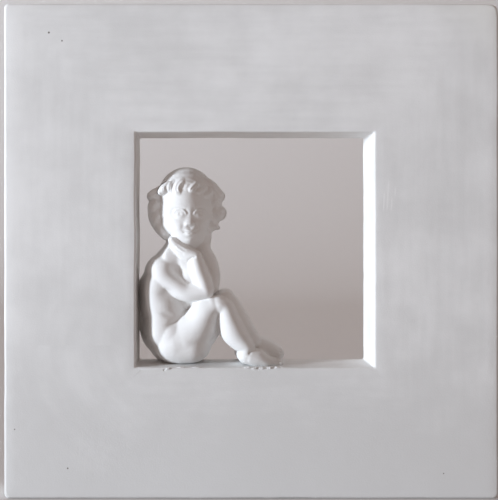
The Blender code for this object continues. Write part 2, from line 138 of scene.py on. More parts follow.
# Rounded masses of the figure: how steep each is, and its stations as
# (right, up, height of its spine, half its width, how far it bulges)
FORMS = {
    "back and belly": (BACK_SLOPE, [
        (12.3, 36.4, 17.0, 7.4, 6.0), (11.8, 32.0, 17.1, 8.2, 6.0), (12.4, 26.5, 17.2, 8.6, 6.0),
        (13.8, 20.5, 17.0, 8.8, 6.0), (14.0, 14.0, 17.2, 8.9, 6.4)]),
    "flank": (FLANK_SLOPE, [
        (11.9, 29.0, 17.1, 7.9, 6.0), (12.4, 25.0, 17.1, 8.3, 6.0), (13.8, 20.0, 16.9, 8.6, 6.0),
        (14.0, 14.0, 17.1, 8.8, 6.4)]),
    "seat": (BACK_SLOPE, [(*SEAT, 18.8, 9.2, 8.0), (15.6, 9.9, 19.0, 9.6, 8.6)]),
    "seat by the ledge": (MOULD_SLOPE, [(18.0, 9.2, 19.0, 9.0, 8.0), (22.3, 9.2, 19.3, 8.7, 8.0)]),
    "hip": (MOULD_SLOPE, [(16.4, 10.0, 19.3, 9.8, 8.8), (*HIP, 19.7, 10.6, 9.0)]),
    "chest": (MOULD_SLOPE, [(17.0, 44.6, 15.4, 5.6, 1.8), (18.0, 36.0, 15.2, 7.0, 1.8)]),
    "chest by the forearm": (MOULD_SLOPE, [(19.8, 43.2, 15.9, 4.0, 1.2), (21.6, 36.6, 16.4, 4.4, 1.4)]),
    "lap": (MOULD_SLOPE, [(19.0, 27.0, 13.8, 4.6, 3.0), (24.0, 28.0, 13.8, 4.0, 3.0)]),
    "neck": (NECK_SLOPE, [
        (17.2, 51.0, 14.6, 3.2, 3.2), (14.9, 46.2, 15.6, 3.6, 3.4), (11.8, 41.2, 17.0, 4.6, 4.4)]),
    "throat": (MOULD_SLOPE, [(17.5, 50.5, 12.0, 3.0, 2.5), (24.5, 47.5, 12.5, 3.0, 2.5)]),
    "web to the window's side": (MOULD_SLOPE, [
        (5.2, 34.0, 8.0, 3.0, 1.5), (4.0, 27.0, 7.0, 4.0, 1.5), (4.4, 16.0, 7.0, 4.4, 1.5),
        (9.2, 7.8, 7.0, 4.6, 1.5)]),
    "near upper arm": (MOULD_SLOPE, [
        (10.2, 38.9, 18.5, 6.0, 4.8), (11.0, 36.4, 18.7, 5.8, 4.7), (14.9, 33.4, 19.0, 4.4, 4.0),
        (20.4, 30.2, 19.4, 3.9, 4.0), (*ELBOW, NEAR_LIMB, 3.5, 3.9)]),
    "near forearm": (MOULD_SLOPE, [
        (*ELBOW, NEAR_LIMB, 3.4, 3.8), (27.1, 34.6, NEAR_LIMB, 3.6, 3.9),
        (25.3, 39.2, NEAR_LIMB, 3.6, 3.8), (24.2, 43.4, 20.1, 2.9, 3.1)]),
    "near hand": (MOULD_SLOPE, [
        (24.0, 44.6, 19.7, 2.7, 2.8), (20.8, 45.8, 19.3, 3.1, 3.0), (17.3, 48.3, 18.8, 2.7, 2.8),
        (14.6, 51.3, 17.9, 1.6, 1.9)]),
    "far arm": (MOULD_SLOPE, [
        (27.9, 53.0, 13.4, 2.9, 2.5), (27.8, 47.6, 13.4, 2.6, 2.5), (30.2, 41.6, 13.4, 3.0, 2.5),
        (31.5, 36.4, 13.4, 3.0, 2.5), (31.2, 32.0, 13.2, 2.8, 2.5)]),
    "near thigh": (MOULD_SLOPE, [
        (*HIP, 19.8, 10.2, 8.7), (25.3, 16.0, 20.2, 7.8, 7.4), (28.4, 21.6, NEAR_LIMB, 6.0, 5.8),
        (31.2, 24.2, 20.1, 4.1, 4.4)]),
    "near shin": (MOULD_SLOPE, [
        (33.4, 24.7, 20.0, 3.9, 4.2), (36.2, 23.6, 20.0, 3.7, 4.0), (37.8, 19.0, NEAR_LIMB, 4.5, 4.4),
        (39.9, 14.0, NEAR_LIMB, 5.4, 5.0), (42.6, 10.3, 19.8, 4.6, 4.4), (45.0, 7.3, 19.4, 3.3, 3.3),
        (44.9, 4.3, 19.3, 3.5, 3.4)]),
    "near foot": (MOULD_SLOPE, [
        (46.6, 3.9, 19.6, 3.4, 3.4), (49.8, 3.2, 19.2, 3.6, 3.6), (52.8, 2.0, 18.2, 2.6, 2.9),
        (55.8, 1.5, 16.8, 1.9, 2.0), (58.8, 1.0, 15.6, 1.4, 1.5)]),
    "far shin": (MOULD_SLOPE, [
        (*FAR_KNEE, 15.0, 4.0, 3.0), (42.0, 18.6, 16.6, 4.0, 3.6), (*FAR_ANKLE, 15.8, 3.5, 3.0)]),
    "far foot": (MOULD_SLOPE, [
        (48.6, 8.2, FAR_LIMB, 3.2, 3.0), (53.6, 6.2, 14.0, 3.6, 3.2), (58.4, 4.5, 13.2, 2.5, 2.6)]),
    "web between the legs": (MOULD_SLOPE, [
        (33.6, 23.0, 17.5, 2.2, 1.5), (33.4, 18.0, 15.6, 2.0, 1.6), (32.4, 13.2, 13.4, 1.7, 1.4),
        (30.4, 9.4, 12.0, 1.5, 1.4)]),
    "web under the shin": (MOULD_SLOPE, [
        (34.4, 20.0, 15.6, 2.0, 1.6), (35.6, 14.4, 13.4, 1.3, 1.4), (38.4, 10.8, 12.0, 1.2, 1.2)]),
    "skull": (MOULD_SLOPE, [
        (*SKULL, SKULL_FRONT, 10.8, SKULL_BULGE),
        (SKULL[0], SKULL[1] + 0.2, SKULL_FRONT, 10.8, SKULL_BULGE)]),
    "face": (MOULD_SLOPE, [
        (FACE[0], 65.0, 19.2, 11.3, 9.0), (FACE[0], FACE[1], 19.2, 11.3, 9.0),
        (FACE[0], 58.4, 19.2, 10.5, 8.6), (21.4, 55.0, 19.3, 7.5, 6.9)]),
    "cap of hair": (MOULD_SLOPE, [
        (SKULL[0], SKULL[1] + 0.7, HAIR_CAP, 11.6, 7.0), (SKULL[0], SKULL[1] + 0.9, HAIR_CAP, 11.6, 7.0)]),
    "left fringe": (MOULD_SLOPE, [
        (13.8, 72.8, 16.8, 2.8, 2.2), (11.4, 71.9, 16.6, 2.3, 2.2), (10.2, 71.0, 16.2, 1.6, 1.8)]),
    "left tuft": (MOULD_SLOPE, [(10.4, 70.6, 12.5, 3.6, 3.0), (6.0, 69.6, HAIR_FLAT, 1.9, 1.8)]),
    "left tip": (MOULD_SLOPE, [(7.0, 70.9, HAIR_FLAT, 1.6, 1.6), (4.9, 70.4, 11.4, 0.6, 0.6)]),
    "left hair": (MOULD_SLOPE, [
        (8.6, 65.0, HAIR_FLAT, 4.2, 2.5), (8.6, 60.8, HAIR_FLAT, 3.8, 2.5),
        (9.8, 57.0, HAIR_FLAT, 3.0, 2.5), (12.0, 53.6, HAIR_FLAT, 2.2, 2.0)]),
    "right hair": (MOULD_SLOPE, [
        (25.4, 71.6, 14.2, 6.4, 4.0), (29.6, 68.6, 13.4, 5.4, 3.6), (31.0, 62.0, HAIR_FLAT, 4.0, 3.0),
        (29.6, 57.6, 11.5, 3.4, 2.5)]),
    "hair over the right temple": (MOULD_SLOPE, [
        (26.6, 74.0, 13.8, 3.8, 3.4), (28.8, 73.4, 13.6, 3.5, 3.0), (31.8, 71.8, 13.0, 2.7, 2.4),
        (34.6, 70.0, 12.2, 1.6, 1.6)]),
    "right tuft": (MOULD_SLOPE, [(30.6, 71.6, 12.6, 4.0, 3.0), (34.4, 69.5, HAIR_FLAT, 2.1, 2.0)]),
    "right lobe": (MOULD_SLOPE, [(33.0, 62.6, HAIR_FLAT, 3.6, 3.0), (34.2, 62.5, HAIR_FLAT, 3.0, 2.6)]),
    "right tip": (MOULD_SLOPE, [(30.6, 57.6, 11.5, 2.4, 2.2), (33.8, 56.3, 11.0, 0.6, 0.6)]),
}

# How much a form falls for each millimetre to the right, and how peaked its top is
LEAN = {"back and belly": 0.42, "flank": 0.42, "chest": 0.50, "near upper arm": -0.08, "neck": 0.15,
        "web to the window's side": -0.9}
PEAK = 1.45
HEAD_PEAK = {"skull": 1.5, "face": 1.45}


def to_model(right, up, height):
    """Places on the relief as rows of model coordinates, in metres."""
    right, up, height = np.broadcast_arrays(right, up, height)
    rows = np.stack([CORNER_RIGHT + right, -height, CORNER_UP + up], axis=-1)
    return rows.reshape(-1, 3) * MM


def smooth_step(low, high, value):
    """Rises from 0 at low to 1 at high as 3t^2 - 2t^3."""
    t = np.clip((value - low) / (high - low), 0.0, 1.0)
    return t * t * (3.0 - 2.0 * t)


def wander(x, y, size, seed):
    """Smooth noise from -1 to 1: seeded values on a square lattice of that size, eased between."""
    values = np.random.default_rng(seed).uniform(-1.0, 1.0, (LATTICE, LATTICE))
    x = np.asarray(x) / size + LATTICE_START
    y = np.asarray(y) / size + LATTICE_START
    i, j = np.floor(x).astype(int), np.floor(y).astype(int)
    s, t = x - i, y - j
    s, t = s * s * (3 - 2 * s), t * t * (3 - 2 * t)
    near_i, near_j, next_i, next_j = i % LATTICE, j % LATTICE, (i + 1) % LATTICE, (j + 1) % LATTICE
    a, b = values[near_i, near_j], values[next_i, near_j]
    c, d = values[near_i, next_j], values[next_i, next_j]
    return a * (1 - s) * (1 - t) + b * s * (1 - t) + c * (1 - s) * t + d * s * t


def grid_faces(rows, columns, closed_rows=False, closed_columns=False):
    """Quads that join a grid of points, numbered row by row; either way may close on itself."""
    i = np.arange(rows if closed_rows else rows - 1)[:, None]
    j = np.arange(columns if closed_columns else columns - 1)[None, :]
    right, down = (j + 1) % columns, (i + 1) % rows
    quads = np.stack(np.broadcast_arrays(
        i * columns + j, i * columns + right, down * columns + right, down * columns + j), axis=-1)
    return quads.reshape(-1, 4)


def new_object(name, points, quads):
    """A mesh at the origin, of points in metres and the faces that join them."""
    mesh = bpy.data.meshes.new(name)
    mesh.from_pydata(points.tolist(), [], quads.tolist())
    mesh.validate()
    thing = bpy.data.objects.new(name, mesh)
    bpy.context.scene.collection.objects.link(thing)
    return thing


def joined(name, parts):
    """One mesh of several closed surfaces, each given as its points and its faces."""
    starts = np.cumsum([0] + [len(points) for points, faces in parts[:-1]])
    points = np.concatenate([points for points, faces in parts])
    faces = np.concatenate([faces + start for start, (own_points, faces) in zip(starts, parts)])
    return new_object(name, points, faces)


def read_points(mesh, what="co"):
    """The vertices' places, or their normals, as rows of three."""
    values = np.empty(3 * len(mesh.vertices))
    mesh.vertices.foreach_get(what, values)
    return values.reshape(-1, 3)


def write_points(mesh, points):
    """Puts the vertices at new places."""
    mesh.vertices.foreach_set("co", points.ravel())
    mesh.update()


def applied(thing):
    """The object with its modifiers worked into its mesh."""
    finished = thing.evaluated_get(bpy.context.evaluated_depsgraph_get())
    thing.data = bpy.data.meshes.new_from_object(finished)
    thing.modifiers.clear()
    return thing


def outline(left, right, bottom, top, radius):
    """A rounded rectangle walked anticlockwise from the top right corner: quarter circles
    joined by evenly divided straight sides, always the same number of points."""
    centres = np.array([(right - radius, top - radius), (left + radius, top - radius),
                        (left + radius, bottom + radius), (right - radius, bottom + radius)])
    runs = []
    for quarter in range(4):
        angle = np.pi / 2 * (quarter + np.linspace(0.0, 1.0, CORNER_STEPS + 1))
        arc = centres[quarter] + radius * np.stack([np.cos(angle), np.sin(angle)], axis=-1)
        onward = centres[(quarter + 1) % 4] + radius * np.array([np.cos(angle[-1]), np.sin(angle[-1])])
        share = (np.arange(1, SIDE_STEPS) / SIDE_STEPS)[:, None]
        runs += [arc, arc[-1] + (onward - arc[-1]) * share]
    return np.concatenate(runs)


def round_profile(radius):
    """Insets and drops along a quarter round from a side to the front."""
    angle = np.linspace(0.0, np.pi / 2, ROUND_STEPS + 1)
    return radius * (1 - np.cos(angle)), radius * (1 - np.sin(angle))


def outer_ring(inset, height):
    """The plaque's outer outline drawn in by the inset. Its hand-rubbed side is a few tenths of a
    millimetre uneven, and its top right corner is worn by WORN_DEPTH * exp(-(far / WORN_REACH)^2)."""
    ring = outline(-LEFT_BAR + inset, SIDE - LEFT_BAR - inset,
                   -BOTTOM_BAR + inset, SIDE - BOTTOM_BAR - inset, OUTER_CORNER)
    middle = np.array([SIDE / 2 - LEFT_BAR, SIDE / 2 - BOTTOM_BAR])
    rub = sum(depth * (1 + wander(ring[:, 0], ring[:, 1], size, seed)) for depth, size, seed in RUBBED)
    far = np.hypot(ring[:, 0] - SIDE + LEFT_BAR, ring[:, 1] - SIDE + BOTTOM_BAR)
    rub = rub + WORN_DEPTH * np.exp(-(far / WORN_REACH) ** 2)
    ring = middle + (ring - middle) * (1 - rub / (SIDE / 2))[:, None]
    return to_model(ring[:, 0], ring[:, 1], height)


def window_ring(outset, height):
    """The window's outline opened by the outset; it narrows towards the back by the draft, and its
    edges waver by up to a fifth of a millimetre, as a worn mould leaves them."""
    grow = outset - (DEPTH - height) * WALL_DRAFT
    ring = outline(-grow, WINDOW_WIDTH + grow, -grow, WINDOW_HEIGHT + grow, WINDOW_CORNER)
    for depth, size, seed in WAVERS:
        ring = ring + depth * np.stack([wander(ring[:, 0], ring[:, 1], size, seed),
                                        wander(ring[:, 0], ring[:, 1], size, seed + 1)], axis=-1)
    return to_model(ring[:, 0], ring[:, 1], height)


def make_frame():
    """One profile carried round the square: up the outer side, over its worn edge, across the
    front, over the window's edge and down its wall. The front swells and sinks in soft waves, by
    up to a quarter of a millimetre."""
    inset, drop = round_profile(OUTER_EDGE_ROUND)
    rings = [outer_ring(0.0, h) for h in np.linspace(-SPARE_DEPTH, DEPTH - drop[0], WALL_STEPS)]
    rings += [outer_ring(i, DEPTH - d) for i, d in zip(inset[1:], drop[1:])]
    outset, fall = round_profile(WINDOW_EDGE_ROUND)
    edge = window_ring(outset[-1], DEPTH)
    rim = rings[-1]
    rings += [rim * (1 - s) + edge * s for s in np.arange(1, FACE_STEPS) / FACE_STEPS]
    rings += [window_ring(o, DEPTH - f) for o, f in zip(outset[::-1], fall[::-1])]
    rings += [window_ring(0.0, h) for h in np.linspace(DEPTH - fall[0], -SPARE_DEPTH, WALL_STEPS)[1:]]
    across = len(rings[0])
    points = np.concatenate(rings)
    u, v = points[:, 0] / MM - CORNER_RIGHT, points[:, 2] / MM - CORNER_UP
    front = smooth_step(DEPTH - 2.0, DEPTH, -points[:, 1] / MM)
    swell = sum(depth * wander(u, v, size, seed) for depth, size, seed in SWELLS) - SINK
    points[:, 1] -= front * swell * MM
    return new_object("plaster_frame", points, grid_faces(len(rings), across, True, True))


def along(stations, spans):
    """A smooth run through the stations: Catmull-Rom between each four."""
    rows = np.array(stations, float)
    rows = np.concatenate([[2 * rows[0] - rows[1]], rows, [2 * rows[-1] - rows[-2]]])
    t = (np.arange(spans) / spans)[None, :, None]
    a, b, c, d = (rows[k:len(rows) - 3 + k, None, :] for k in range(4))
    run = 0.5 * (2 * b + (c - a) * t + (2 * a - 5 * b + 4 * c - d) * t ** 2
                 + (3 * b - a - 3 * c + d) * t ** 3)
    return np.concatenate([run.reshape(-1, rows.shape[1]), rows[-2:-1]])


def form_surface(stations, slope, lean, peak, spans=8, cap=16, dome=12):
    """A rounded mass: a domed profile carried along a path and turned about both its ends. One
    parameter runs round the outline, the other from the spine over the dome, where the height is
    top - bulge * (1 - cos(a)^peak) - lean * (offset to the right) at half * sin(a) from the spine,
    down the drafted side and under to the spine."""
    run = along(stations, spans) if len(stations) > 2 else np.array(stations, float)
    heading = np.gradient(run[:, :2], axis=0)
    side = np.arctan2(heading[:, 1], heading[:, 0]) - np.pi / 2
    turn = np.linspace(0.0, np.pi, cap)[1:-1]
    last = len(run) - 1
    station = np.concatenate([np.arange(last + 1), np.full(cap - 2, last),
                              np.arange(last, -1, -1), np.full(cap - 2, 0)])
    angle = np.concatenate([side, side[-1] + turn, side[::-1] + np.pi, side[0] + np.pi + turn])
    right, up, top, half, bulge = run[station].T
    a = np.linspace(0.0, np.pi / 2, dome)[:, None]
    reach = np.concatenate([half * np.sin(a), [half + (top - bulge + SPARE_DEPTH) / slope], [0 * half]])
    dome_height = top - bulge * (1 - np.abs(np.cos(a)) ** peak) - lean * half * np.sin(a) * np.cos(angle)
    height = np.concatenate([dome_height, np.full((2, len(half)), -SPARE_DEPTH)])
    points = to_model(right + reach * np.cos(angle), up + reach * np.sin(angle), height)
    return points, grid_faces(len(reach), len(half), False, True)


def off_path(x, z, places, spans=6):
    """Signed distance of each point from a smooth path (left is positive), and how far along."""
    run = along(places, spans) if len(places) > 2 else np.array(places, float)
    nearest = np.full(x.shape, 1e9)
    signed = np.zeros(x.shape)
    share = np.zeros(x.shape)
    for k, ((ax, az), (bx, bz)) in enumerate(zip(run[:-1], run[1:])):
        dx, dz = bx - ax, bz - az
        t = np.clip(((x - ax) * dx + (z - az) * dz) / (dx * dx + dz * dz), 0.0, 1.0)
        off = np.hypot(x - ax - t * dx, z - az - t * dz)
        closer = off < nearest
        nearest = np.where(closer, off, nearest)
        signed = np.where(closer, off * np.sign(dx * (z - az) - dz * (x - ax)), signed)
        share = np.where(closer, (k + t) / (len(run) - 1), share)
    return signed, share


def mound(x, z, centre, width, height, turn=0.0):
    """A soft swelling of height 1: exp(-(a^2 + b^2)), a and b measured in its width and height."""
    c, s = math.cos(turn), math.sin(turn)
    a = ((x - centre[0]) * c + (z - centre[1]) * s) / width
    b = (-(x - centre[0]) * s + (z - centre[1]) * c) / height
    return np.exp(-a * a - b * b)


def furrow(x, z, places, width):
    """A soft groove of depth 1 along a path, fading out at its ends."""
    off, share = off_path(x, z, places)
    return np.exp(-(off / width) ** 2) * smooth_step(0.0, 0.12, share) * smooth_step(0.0, 0.12, 1 - share)


def lock(x, z, places, width, strands=3):
    """A lock of hair that rises from its root and sinks at its tip: (1 - (off / half)^2)^0.8 across,
    with fine strands combed along it."""
    off, share = off_path(x, z, places)
    half = width / 2 * np.clip(1.7 * np.sin(np.pi * (0.06 + 0.90 * share)), 0.12, 1.0)
    across = np.clip(off / half, -1.0, 1.0)
    ends = smooth_step(0.0, 0.30, share) * (0.3 + 0.7 * smooth_step(0.0, 0.25, 1.0 - share))
    body = (1.0 - across ** 2) ** 0.8 * ends
    return body * (1.0 - STRAND_DEPTH * (0.5 - 0.5 * np.cos(strands * np.pi * (across + 1.0))) * body)


def eye_relief(x, z, centre):
    """A ball in its socket, with a rounded upper lid over it, a thinner lower one, and a small dip
    for the pupil."""
    rise = -1.05 * mound(x, z, (centre, EYE_LINE + 0.3), 0.72 * EYE_WIDTH, 0.54 * EYE_WIDTH)
    a, b = (x - centre) / (0.54 * EYE_WIDTH), (z - EYE_LINE) / (0.42 * EYE_WIDTH)
    far = np.hypot(a, b)
    rise += 1.05 * np.exp(-(far / 0.98) ** 4) * (1.0 - 0.30 * far ** 2)
    upper = smooth_step(-0.35, 0.45, b)
    rise += np.exp(-((far - 1.10) / 0.19) ** 2) * (0.10 + 0.36 * upper)
    rise -= 0.12 * np.exp(-((far - 1.55) / 0.22) ** 2) * upper
    rise -= 0.26 * np.exp(-(np.hypot(x - centre, z - EYE_LINE - 0.10) / 0.52) ** 2)
    return rise


def nose_relief(x, z):
    """A low bridge that widens and rises to a round tip, with a wing and a nostril at each side and
    a soft fold from there to the mouth."""
    down = np.clip((EYE_LINE + 1.2 - z) / (EYE_LINE + 1.2 - NOSE_LINE), 0.0, 1.0)
    under = smooth_step(NOSE_LINE - 0.95, NOSE_LINE + 0.55, z)
    above = 1.0 - smooth_step(EYE_LINE + 0.5, EYE_LINE + 4.0, z)
    bridge = (0.15 + 0.75 * down ** 3) * np.exp(-((x - FACE_MIDDLE) / (1.35 + 0.40 * down)) ** 2)
    rise = bridge * under * above
    rise += 1.00 * under * mound(x, z, (FACE_MIDDLE, NOSE_LINE + 0.90), 1.50, 1.25)
    for way in (-1, 1):
        rise += 0.60 * mound(x, z, (FACE_MIDDLE + way * 1.55, NOSE_LINE + 0.60), 0.80, 0.80)
        rise -= 0.28 * mound(x, z, (FACE_MIDDLE + way * 0.80, NOSE_LINE - 0.30), 0.50, 0.42)
        rise -= 0.20 * furrow(x, z, [(FACE_MIDDLE + way * 2.2, NOSE_LINE + 0.8),
                                     (FACE_MIDDLE + way * 3.1, NOSE_LINE - 0.8),
                                     (FACE_MIDDLE + way * 3.3, MOUTH_LINE + 0.3)], 0.7)
    return rise


def mouth_relief(x, z):
    """Soft closed lips on a low swelling, a dip above them, and a round chin."""
    off = x - FACE_MIDDLE
    line = MOUTH_LINE + 0.10 * (off / 1.6) ** 2 - 0.08 * np.cos(off * 1.9)
    rise = 0.60 * mound(x, z, (FACE_MIDDLE, MOUTH_LINE + 0.1), 3.0, 2.0)
    rise += 0.58 * np.exp(-(off / 1.85) ** 4) * np.exp(-((z - line - 0.72) / 0.55) ** 2)
    rise += 0.66 * np.exp(-(off / 1.55) ** 4) * np.exp(-((z - line + 0.80) / 0.62) ** 2)
    rise -= 0.60 * np.exp(-(off / 2.25) ** 4) * np.exp(-((z - line) / 0.36) ** 2)
    rise -= 0.22 * mound(x, z, (FACE_MIDDLE, MOUTH_LINE + 1.85), 0.50, 0.70)
    for way in (-1, 1):
        rise -= 0.35 * mound(x, z, (FACE_MIDDLE + way * 2.45, MOUTH_LINE + 0.15), 0.62, 0.62)
    rise -= 0.40 * mound(x, z, (FACE_MIDDLE, MOUTH_LINE - 2.1), 1.8, 0.65)
    rise += 0.80 * mound(x, z, (FACE_MIDDLE, CHIN_LEVEL + 1.9), 2.4, 1.7)
    return rise


def face_relief(x, z):
    """Brows, eyes, nose, cheeks, mouth and chin, raised on or sunk into the smooth head."""
    rise = nose_relief(x, z) + mouth_relief(x, z)
    for way in (-1, 1):
        eye = FACE_MIDDLE + way * EYE_WIDTH
        rise += eye_relief(x, z, eye)
        brow = [(eye - way * 2.4, BROW_LINE - 0.9), (eye, BROW_LINE + 0.3),
                (eye + way * 2.4, BROW_LINE - 0.9)]
        rise += 0.22 * furrow(x, z, brow, 1.1)
        rise += 1.25 * mound(x, z, (FACE_MIDDLE + way * 5.3, NOSE_LINE - 0.9), 3.5, 3.4)
    return rise + 0.6 * mound(x, z, (FACE_MIDDLE - 0.6, BROW_LINE + 3.2), 7.0, 4.0)


# Locks of hair: (width, height, path from the root to the tip)
STRAND_DEPTH = 0.24
SIDE_LOCK_RISE = 1.3
CROWN = (
    (4.8, 0.70, [(12.2, 74.8), (16.0, 75.6), (21.0, 75.8), (25.2, 74.0), (27.4, 70.4)]),
    (4.2, 0.55, [(12.0, 75.8), (16.4, 77.0), (22.2, 77.2), (27.0, 75.0), (29.4, 71.2)]),
    (5.2, 0.72, [(11.8, 76.8), (16.8, 78.8), (23.0, 79.0), (28.4, 76.6), (31.4, 72.4)]),
    (4.4, 0.50, [(12.2, 78.0), (17.2, 80.4), (23.6, 80.8), (29.8, 78.2), (33.2, 73.8)]),
)
FRINGE = (
    (3.8, 1.2, [(13.6, 77.6), (10.6, 75.4), (8.9, 73.0), (8.2, 70.3)]),
    (2.7, 1.0, [(14.0, 76.2), (11.8, 74.4), (10.9, 72.4), (11.4, 70.0)]),
    (2.9, 1.1, [(17.0, 76.6), (14.7, 75.0), (13.7, 72.8), (14.4, 70.2)]),
    (3.9, 1.5, [(22.0, 76.2), (18.6, 75.6), (16.8, 73.6), (16.6, 71.4), (18.4, 69.3)]),
    (2.0, 0.5, [(22.8, 75.6), (21.3, 74.0), (20.6, 72.6), (20.6, 71.0)]),
    (3.4, 1.5, [(26.6, 75.2), (24.4, 74.0), (22.9, 72.4), (21.8, 70.4)]),
    (3.0, 1.1, [(28.2, 74.4), (27.4, 72.6), (26.0, 71.4), (24.2, 70.7)]),
    (3.0, 1.2, [(30.6, 73.8), (30.3, 71.4), (29.0, 69.8), (27.2, 70.0)]),
    (2.6, 0.7, [(31.6, 73.6), (32.8, 70.6), (32.6, 67.8), (31.4, 65.8)]),
    (2.4, 0.6, [(32.6, 69.6), (33.4, 66.2), (33.0, 63.4), (32.0, 61.6)]),
)
SIDE_LOCKS = (
    (3.6, 0.8, [(11.0, 73.8), (8.2, 72.4), (4.2, 70.6)]),
    (3.0, 0.6, [(10.4, 70.6), (7.6, 69.8), (4.8, 68.4)]),
    (4.8, 0.8, [(10.2, 67.6), (7.4, 66.0), (4.4, 62.8)]),
    (4.6, 0.7, [(10.6, 63.6), (8.2, 60.6), (6.2, 56.8)]),
    (4.4, 0.7, [(11.8, 59.4), (9.8, 56.0), (9.8, 52.4)]),
    (4.0, 0.8, [(28.8, 77.2), (32.4, 74.4), (36.6, 70.3)]),
    (3.4, 0.7, [(30.4, 73.0), (33.2, 70.6), (35.9, 66.6)]),
    (4.2, 0.8, [(31.0, 68.6), (34.0, 66.4), (37.2, 62.8)]),
    (3.6, 0.7, [(31.0, 64.2), (33.2, 62.0), (35.4, 58.8)]),
    (3.2, 0.7, [(30.2, 60.4), (31.8, 58.2), (34.2, 55.8)]),
)


def hair_relief(x, z):
    """Locks swept over the crown, curls along the forehead, and loose locks out at both sides,
    always the highest of those that cross."""
    rise = np.zeros(x.shape)
    for width, height, path in CROWN + FRINGE:
        rise = np.maximum(rise, height * lock(x, z, path, width))
    for width, height, path in SIDE_LOCKS:
        rise = np.maximum(rise, SIDE_LOCK_RISE * height * lock(x, z, path, width, 2))
    return rise


def body_relief(x, z):
    """Creases and hollows of the body, and the furrows that part fingers and toes: grooves along
    paths, and swellings or hollows about points."""
    # Ankle, then the fold, hollows and roll of the side
    rise = -0.45 * furrow(x, z, [(45.6, 5.0), (46.8, 6.6), (48.4, 7.3), (50.4, 7.5)], 0.55)
    rise -= 0.35 * furrow(x, z, [(11.0, 31.2), (14.0, 30.8), (17.6, 27.8), (21.0, 25.6)], 0.9)
    rise -= 0.60 * mound(x, z, (12.0, 29.6), 3.2, 1.9)
    rise -= 0.50 * mound(x, z, (12.8, 20.9), 2.6, 1.1, -0.2)
    rise -= 0.70 * mound(x, z, (15.2, 17.4), 2.2, 1.2, 0.3)
    rise += 0.30 * mound(x, z, (13.6, 24.8), 3.4, 2.6)
    # Hollow by the shoulder, collar, wrist and knee
    rise -= 1.2 * mound(x, z, (17.0, 38.8), 3.3, 2.6, -0.5)
    rise += 0.35 * mound(x, z, (16.8, 44.2), 4.6, 1.5, -0.85)
    rise -= 0.45 * furrow(x, z, [(20.6, 42.6), (22.4, 43.9), (24.4, 44.6)], 0.45)
    rise += 0.30 * mound(x, z, (34.2, 25.6), 1.8, 1.8)
    # Between the fingers
    for k in range(2):
        shift = np.array((0.85, 1.15)) * (k + 0.4)
        rise -= 0.24 * furrow(x, z, [shift + (19.4, 45.2), shift + (16.4, 47.0), shift + (13.4, 49.9)], 0.36)
    # Between the toes of both feet
    for k in range(4):
        near = np.array((55.6, 3.7)) + (0.50 * k, -0.74 * k)
        rise -= 0.45 * furrow(x, z, [near - (1.2, -0.2), near + (0.4, -0.2), near + (2.0, -0.9)], 0.26)
        far = np.array((58.0, 7.4)) + (0.25 * k, -1.10 * k)
        rise -= 0.50 * furrow(x, z, [far, far + (1.5, -0.3), far + (3.0, -0.9)], 0.27)
    return rise


def carve(mesh):
    """Moves the front of the skin in or out by the finer relief."""
    points = read_points(mesh)
    facing = smooth_step(*FRONT_FACING, -read_points(mesh, "normal")[:, 1])
    x = points[:, 0] / MM - CORNER_RIGHT
    z = points[:, 2] / MM - CORNER_UP
    head = z > CHIN_LEVEL - NECK_BLEND
    rise = body_relief(x, z)
    hair = hair_relief(x[head], z[head])
    bare = face_relief(x[head], z[head]) * (1 - smooth_step(0.0, 0.5, hair))
    above = smooth_step(CHIN_LEVEL - NECK_BLEND, CHIN_LEVEL + NECK_BLEND, z[head])
    rise[head] = rise[head] * (1 - above) + above * (hair + bare - HEAD_TURN * (x[head] - FACE[0]))
    points[:, 1] -= facing * rise * MM
    write_points(mesh, points)


def make_figure():
    """All the rounded masses under one skin, softened, carved and softened a little again."""
    parts = [form_surface(stations, slope, LEAN.get(name, 0.0), HEAD_PEAK.get(name, PEAK))
             for name, (slope, stations) in FORMS.items()]
    figure = joined("cherub_skin", parts)
    skin = figure.modifiers.new("One skin", "REMESH")
    skin.mode = "VOXEL"
    skin.voxel_size = VOXEL * MM
    soften = figure.modifiers.new("Soften", "SMOOTH")
    soften.iterations = SOFTENING
    applied(figure)
    carve(figure.data)
    settle = figure.modifiers.new("Settle", "SMOOTH")
    settle.iterations = AFTER_CARVING
    thin = figure.modifiers.new("Thin out", "DECIMATE")
    thin.ratio = KEPT_SHARE
    return applied(figure)


# Chips out of the window's lower edge, and flash left on it: (right, up, height, three half sizes)
CHIPS = (
    (11.6, -0.9, 20.5, 0.9, 0.6, 0.8), (1.4, -0.8, 20.6, 1.2, 0.9, 0.9), (29.1, -0.8, 20.4, 0.8, 0.5, 0.6),
    (49.7, -0.9, 20.5, 0.8, 0.5, 0.7), (61.2, -0.8, 20.3, 0.7, 0.5, 0.5),
)
FLASH = (
    (13.0, -0.4, 19.7, 0.9, 0.45, 0.6), (18.2, -0.1, 19.1, 1.5, 0.35, 0.5),
    (24.6, -0.1, 19.1, 1.8, 0.35, 0.5), (45.2, -0.1, 19.4, 1.4, 0.50, 0.7),
    (47.9, -0.3, 19.7, 1.2, 0.45, 0.6), (50.9, -0.3, 19.6, 1.5, 0.50, 0.7),
    (54.0, -0.2, 19.5, 1.1, 0.50, 0.7), (57.0, -0.1, 19.1, 1.5, 0.45, 0.8),
    (59.5, -0.1, 18.8, 1.0, 0.40, 0.7),
)


